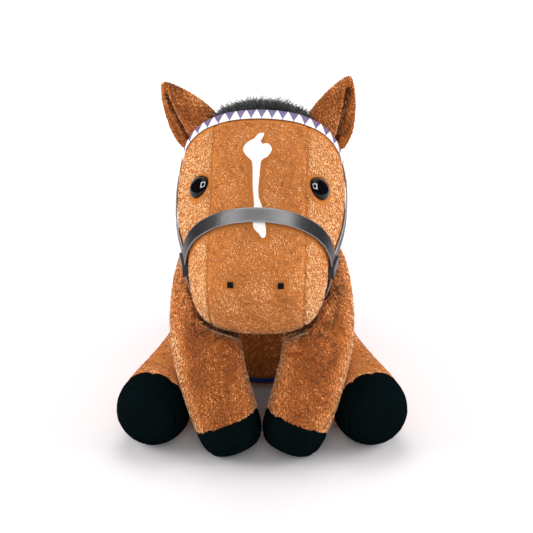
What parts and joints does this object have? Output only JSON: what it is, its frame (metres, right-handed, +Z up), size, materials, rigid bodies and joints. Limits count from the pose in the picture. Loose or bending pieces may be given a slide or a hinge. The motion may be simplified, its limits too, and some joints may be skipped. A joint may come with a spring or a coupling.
{
  "type": "plush horse",
  "caption": "Seated stuffed plush horse with a bridle; sewn head, legs and tail flex at their seams.",
  "frame": {"origin": "centre of the bounding box, on the surface the horse sits on", "axes": "+Z up, the horse looks along -Y, +X to the viewer's right when it is seen from the front"},
  "size_m": [0.1464, 0.2026, 0.1708],
  "materials": {
    "brown_plush": "short brown pile plush",
    "black_plush": "short black pile plush",
    "black_long_pile": "long black pile",
    "eye_plastic": "glossy black safety eye",
    "washer_plastic": "moulded locking washer",
    "white_stitch": "white satin stitch",
    "black_thread": "black stitched thread",
    "strap_leather": "dark grey imitation leather, soft sheen",
    "brow_ribbon": "ribbon printed with a purple and white triangle pattern",
    "navy_ribbon": "navy satin ribbon"
  },
  "bodies": {
    "body": {"torso": "brown_plush", "girth_band": "navy_ribbon"},
    "head": {"head": "brown_plush", "ear_left": "brown_plush", "ear_right": "brown_plush", "mane": "black_long_pile", "eye_left": "eye_plastic", "eye_right": "eye_plastic", "eye_washer_left": "washer_plastic", "eye_washer_right": "washer_plastic", "nostril_left": "black_thread", "nostril_right": "black_thread", "blaze": "white_stitch", "browband": "brow_ribbon", "headpiece": "strap_leather", "noseband": "strap_leather", "cheek_strap_left": "strap_leather", "cheek_strap_right": "strap_leather", "strap_loop_left": "strap_leather", "strap_loop_right": "strap_leather"},
    "foreleg_left": {"foreleg_left": "brown_plush", "fore_hoof_left": "black_plush", "fore_sole_left": "black_plush"},
    "foreleg_right": {"foreleg_right": "brown_plush", "fore_hoof_right": "black_plush", "fore_sole_right": "black_plush"},
    "hindleg_left": {"hindleg_left": "brown_plush", "hind_hoof_left": "black_plush", "hind_sole_left": "black_plush"},
    "hindleg_right": {"hindleg_right": "brown_plush", "hind_hoof_right": "black_plush", "hind_sole_right": "black_plush"},
    "tail": {"tail": "black_long_pile"}
  },
  "joints": [
    {"name": "neck_nod", "type": "hinge", "parent": "body", "child": "head", "pos_m": [0, 0.00059, 0.093], "axis": [1, 0, 0], "range_deg": [-10, 0], "stiffness_Nm_per_rad": 2},
    {"name": "foreleg_left_lift", "type": "hinge", "parent": "body", "child": "foreleg_left", "pos_m": [-0.029, -0.01541, 0.074], "axis": [-1, 0, 0], "range_deg": [0, 5], "stiffness_Nm_per_rad": 0.3},
    {"name": "foreleg_right_lift", "type": "hinge", "parent": "body", "child": "foreleg_right", "pos_m": [0.029, -0.01541, 0.074], "axis": [-1, 0, 0], "range_deg": [0, 5], "stiffness_Nm_per_rad": 0.3},
    {"name": "hindleg_left_splay", "type": "hinge", "parent": "body", "child": "hindleg_left", "pos_m": [-0.025, 0.00659, 0.025], "axis": [0, 0, -1], "range_deg": [0, 15], "stiffness_Nm_per_rad": 0.3},
    {"name": "hindleg_right_splay", "type": "hinge", "parent": "body", "child": "hindleg_right", "pos_m": [0.025, 0.00659, 0.025], "axis": [0, 0, 1], "range_deg": [0, 15], "stiffness_Nm_per_rad": 0.3},
    {"name": "tail_swing", "type": "hinge", "parent": "body", "child": "tail", "pos_m": [0, 0.04859, 0.044], "axis": [0, 0, 1], "range_deg": [-25, 25], "stiffness_Nm_per_rad": 0.05}
  ]
}
